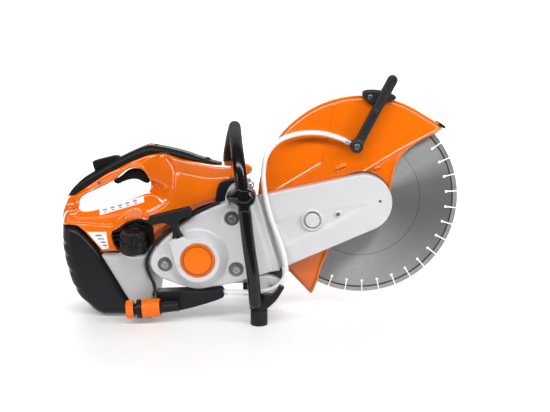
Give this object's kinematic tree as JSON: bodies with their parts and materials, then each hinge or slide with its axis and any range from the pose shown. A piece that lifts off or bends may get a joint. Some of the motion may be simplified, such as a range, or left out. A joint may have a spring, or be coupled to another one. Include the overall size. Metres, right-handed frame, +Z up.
{
  "type": "cut-off saw",
  "caption": "Petrol cut-off saw for rescue work: swivelling wheel guard, belt drive, recoil starter, rear and front handles, and a water line to the blade.",
  "frame": {"origin": "on the ground under the middle of the bounding box; y = 0 is the plane of the blade", "axes": "+X forward to the blade, +Z up, -Y towards the starter side"},
  "size_m": [0.718, 0.2718, 0.4335],
  "materials": {
    "orange_paint": "glossy moulded orange",
    "guard_orange": "glossy orange powder coat",
    "white_casting": "satin white paint on die-cast magnesium",
    "white_plastic": "satin white",
    "black_plastic": "fine grained black",
    "black_rubber": "matt black",
    "black_tube": "glossy black coating",
    "steel": "machined",
    "blade_steel": "radially brushed",
    "cast_alloy": "as cast",
    "dark_metal": "dark grey coating",
    "hose_white": "smooth white",
    "switch_peach": "satin",
    "filter_media": "pleated paper"
  },
  "bodies": {
    "machine": {"spindle_bearing": "steel", "clutch_hub": "dark_metal", "drive_belt": "black_rubber", "bearing_arm": "dark_metal", "belt_guard": "white_plastic", "tension_cap": "white_plastic", "starter_cover": "white_plastic", "starter_badge": "orange_paint", "rewind_spring": "steel", "cover_screw_1": "steel", "cover_screw_2": "steel", "cover_screw_3": "steel", "starter_rope": "black_plastic", "crankcase": "cast_alloy", "cylinder": "cast_alloy", "spark_plug": "steel", "piston": "cast_alloy", "crankshaft": "steel", "connecting_rod": "steel", "flywheel": "cast_alloy", "muffler": "dark_metal", "carburetor": "cast_alloy", "fan_cover": "white_plastic", "rear_handle": "orange_paint", "filler_surround": "black_plastic", "handle_moulding": "black_plastic", "engine_shroud": "orange_paint", "filter_cover": "black_plastic", "air_filter": "filter_media", "fuel_tank": "white_plastic", "handlebar": "black_tube", "handlebar_clamp": "black_plastic", "av_spring": "steel", "support_bracket": "dark_metal", "front_foot_near": "black_rubber", "front_foot_far": "black_rubber", "skid_plate": "black_plastic", "coupling_body": "black_plastic", "coupling_nut": "orange_paint", "water_hose": "hose_white", "edge_seal": "black_rubber"},
    "wheel": {"spindle": "steel", "wheel_pulley": "dark_metal", "outer_flange": "steel", "spindle_nut": "steel", "blade": "blade_steel"},
    "clutch_drum": {"clutch_drum": "steel"},
    "wheel_guard": {"wheel_guard": "guard_orange", "guard_handle": "black_plastic", "guard_saddle": "black_plastic", "guard_tip": "black_rubber", "hose_fitting": "dark_metal"},
    "throttle_trigger": {"throttle_trigger": "black_plastic"},
    "trigger_lock": {"trigger_lock": "black_plastic"},
    "pull_grip": {"starter_grip": "black_rubber"},
    "starter_rotor": {"starter_rotor": "black_plastic"},
    "filler_plug": {"cap_plug": "black_plastic"},
    "fuel_cap": {"fuel_cap": "black_plastic"},
    "coupling_collar": {"coupling_collar": "orange_paint"},
    "stop_switch": {"stop_switch": "switch_peach"}
  },
  "joints": [
    {"name": "wheel_spin", "type": "hinge", "parent": "machine", "child": "wheel", "pos_m": [0.184, 0, 0.209], "axis": [0, 1, 0], "continuous": true},
    {"name": "drum_spin", "type": "hinge", "parent": "machine", "child": "clutch_drum", "pos_m": [-0.107, 0, 0.114], "axis": [0, 1, 0], "continuous": true},
    {"name": "guard_swing", "type": "hinge", "parent": "machine", "child": "wheel_guard", "pos_m": [0.184, 0, 0.209], "axis": [0, 1, 0], "range_deg": [-30, 30], "deforming": ["water_hose"]},
    {"name": "throttle", "type": "hinge", "parent": "machine", "child": "throttle_trigger", "pos_m": [-0.207, 0.008, 0.248], "axis": [0, 1, 0], "range_deg": [0, 10], "stiffness_Nm_per_rad": 0.5, "springref_deg": -6.88},
    {"name": "lock_lever", "type": "hinge", "parent": "machine", "child": "trigger_lock", "pos_m": [-0.256, 0.008, 0.28], "axis": [0, 1, 0], "range_deg": [-8, 0], "stiffness_Nm_per_rad": 0.5, "springref_deg": 6.88},
    {"name": "starter_pull", "type": "slide", "parent": "machine", "child": "pull_grip", "axis": [-0.2419, 0, 0.9703], "range_m": [0, 0.7], "stiffness_N_per_m": 8, "springref_m": -1.2, "deforming": ["starter_rope"]},
    {"name": "rotor_spin", "type": "hinge", "parent": "machine", "child": "starter_rotor", "pos_m": [-0.107, 0, 0.114], "axis": [0, 1, 0], "range_deg": [0, 1370]},
    {"name": "cap_lift", "type": "slide", "parent": "machine", "child": "filler_plug", "axis": [0, -0.1736, 0.9848], "range_m": [0, 0.02]},
    {"name": "cap_turn", "type": "hinge", "parent": "filler_plug", "child": "fuel_cap", "pos_m": [-0.222, -0.07, 0.124], "axis": [0, -0.1736, 0.9848], "range_deg": [0, 90]},
    {"name": "collar_slide", "type": "slide", "parent": "machine", "child": "coupling_collar", "axis": [0.9971, 0, 0.0759], "range_m": [0, 0.004], "stiffness_N_per_m": 600, "springref_m": -0.002},
    {"name": "switch_slide", "type": "slide", "parent": "machine", "child": "stop_switch", "axis": [1, 0, 0], "range_m": [-0.0025, 0.0035]}
  ],
  "couplings": [
    {"joint": "drum_spin", "follows": "wheel_spin", "ratio": 1.8696},
    {"joint": "rotor_spin", "follows": "starter_pull", "rad_per_m": 33.9}
  ]
}
